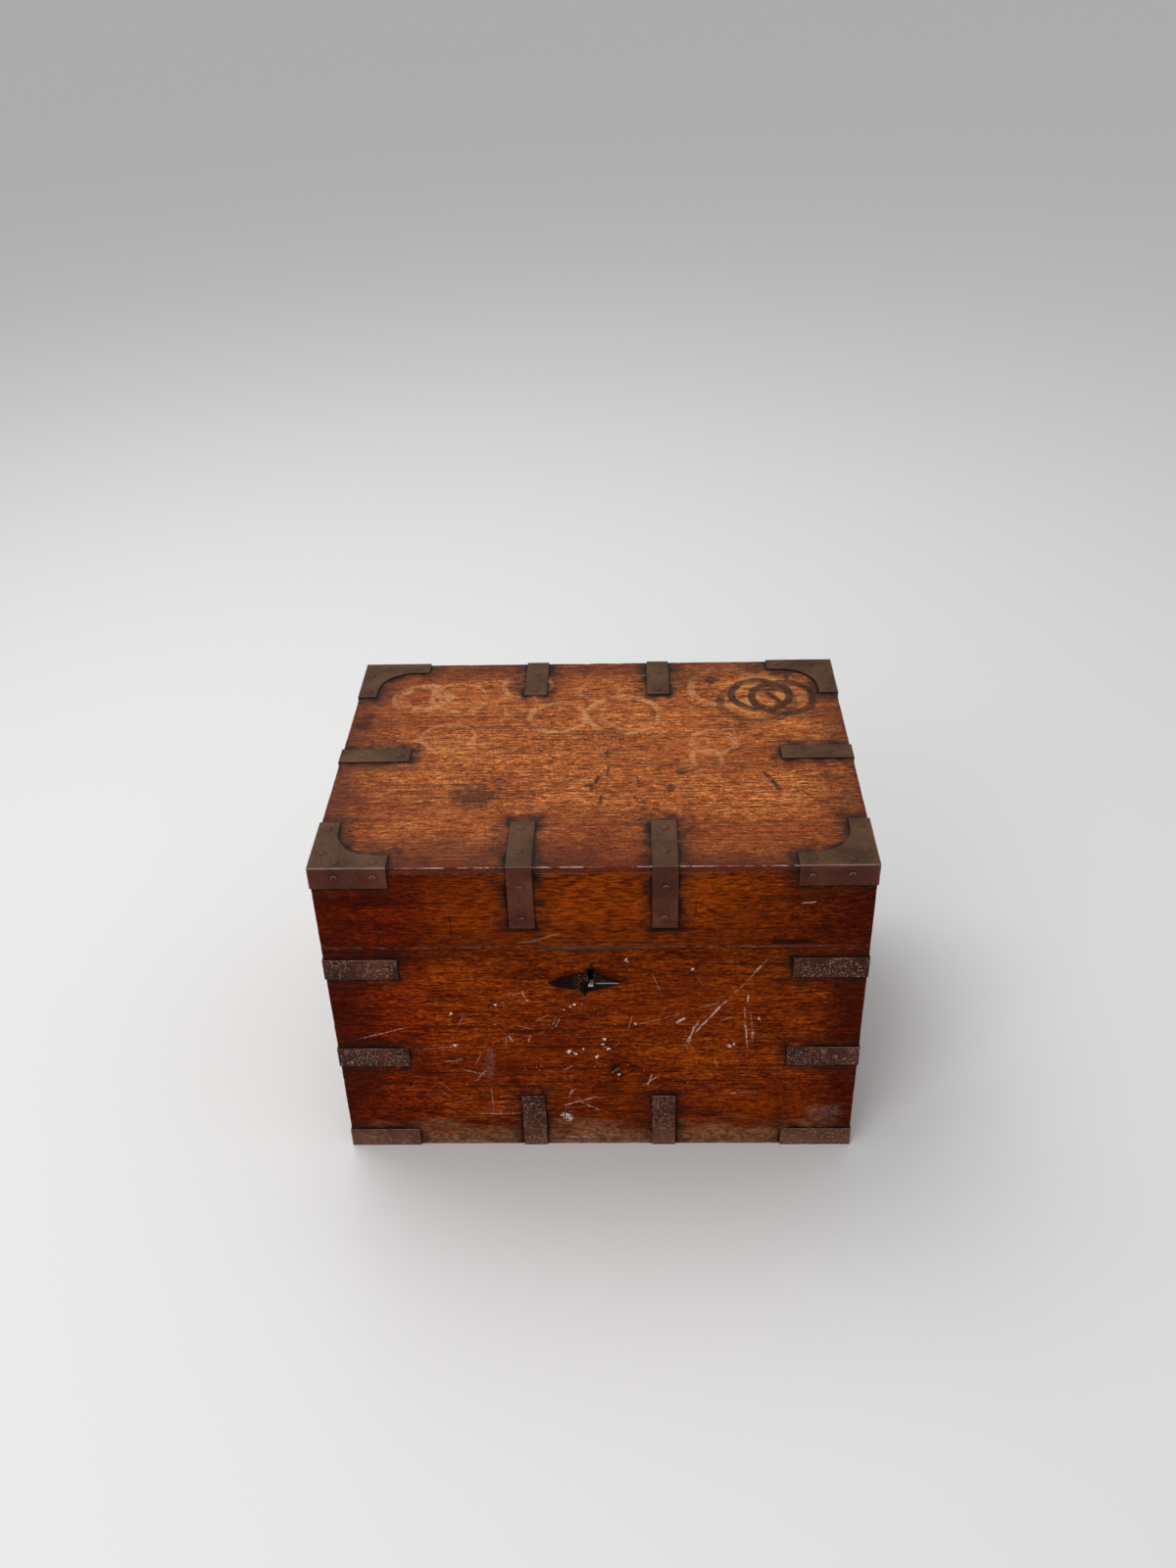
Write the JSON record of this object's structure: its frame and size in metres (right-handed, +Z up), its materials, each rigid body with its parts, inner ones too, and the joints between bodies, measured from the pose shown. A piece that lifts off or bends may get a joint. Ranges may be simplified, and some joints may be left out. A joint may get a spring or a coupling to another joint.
{
  "type": "strongbox",
  "caption": "Iron-bound teak strongbox with a deep hinged lid, strapped edges and corners, a keyed box lock in the front and a drop handle on each side.",
  "frame": {"origin": "middle of the box's footprint on the floor, at the underside of the bottom iron", "axes": "+X to the box's right as seen from the front, +Y from front to back, +Z up"},
  "size_m": [0.589, 0.4118, 0.3897],
  "materials": {
    "lid_teak": "dry, faded teak with worn edges",
    "body_teak": "old glossy varnish on red-brown teak",
    "strap_iron": "hammered wrought iron, browned and lightly pitted",
    "lock_iron": "filed wrought iron, browned",
    "handle_iron": "forged iron, browned, worn at the grip",
    "spring_steel": "blued spring steel"
  },
  "bodies": {
    "chest": {"body_floor": "body_teak", "body_front": "body_teak", "body_back": "body_teak", "body_left": "body_teak", "body_right": "body_teak", "bottom_corner_front_left": "strap_iron", "bottom_corner_front_right": "strap_iron", "bottom_corner_back_left": "strap_iron", "bottom_corner_back_right": "strap_iron", "bottom_strap_front_left": "strap_iron", "bottom_strap_front_right": "strap_iron", "bottom_strap_back_left": "strap_iron", "bottom_strap_back_right": "strap_iron", "bottom_strap_left": "strap_iron", "bottom_strap_right": "strap_iron", "upper_strap_front_left": "strap_iron", "upper_strap_front_right": "strap_iron", "upper_strap_back_left": "strap_iron", "upper_strap_back_right": "strap_iron", "middle_strap_front_left": "strap_iron", "middle_strap_front_right": "strap_iron", "middle_strap_back_left": "strap_iron", "middle_strap_back_right": "strap_iron", "hinge_body_leaf_left": "strap_iron", "hinge_body_leaf_right": "strap_iron", "hinge_pin_left": "strap_iron", "hinge_pin_right": "strap_iron", "escutcheon": "strap_iron", "lock_case": "lock_iron", "lock_cover": "lock_iron", "drill_pin": "lock_iron", "cover_screw_lower_left": "lock_iron", "cover_screw_lower_right": "lock_iron", "cover_screw_upper_left": "lock_iron", "cover_screw_upper_right": "lock_iron", "handle_plate_left": "handle_iron", "handle_plate_right": "handle_iron"},
    "lid": {"lid_top": "lid_teak", "lid_front": "lid_teak", "lid_back": "lid_teak", "lid_left": "lid_teak", "lid_right": "lid_teak", "lid_corner_front_left": "strap_iron", "lid_corner_front_right": "strap_iron", "lid_corner_back_left": "strap_iron", "lid_corner_back_right": "strap_iron", "lid_strap_front_left": "strap_iron", "lid_strap_front_right": "strap_iron", "lid_strap_left": "strap_iron", "lid_strap_right": "strap_iron", "hinge_lid_leaf_left": "strap_iron", "hinge_lid_leaf_right": "strap_iron", "link_plate": "lock_iron"},
    "lock_bolt": {"lock_bolt": "lock_iron", "bolt_spring": "spring_steel"},
    "handle_left": {"handle_bail_left": "handle_iron"},
    "handle_right": {"handle_bail_right": "handle_iron"}
  },
  "joints": [
    {"name": "lid_hinge", "type": "hinge", "parent": "chest", "child": "lid", "pos_m": [0, 0.2004, 0.288], "axis": [-1, 0, 0], "range_deg": [0, 180]},
    {"name": "bolt_throw", "type": "slide", "parent": "chest", "child": "lock_bolt", "axis": [1, 0, 0], "range_m": [0, 0.009]},
    {"name": "left_handle_swing", "type": "hinge", "parent": "chest", "child": "handle_left", "pos_m": [-0.2865, -0.0051, 0.213], "axis": [0, 1, 0], "range_deg": [0, 180]},
    {"name": "right_handle_swing", "type": "hinge", "parent": "chest", "child": "handle_right", "pos_m": [0.2865, -0.0051, 0.213], "axis": [0, -1, 0], "range_deg": [0, 180]}
  ]
}
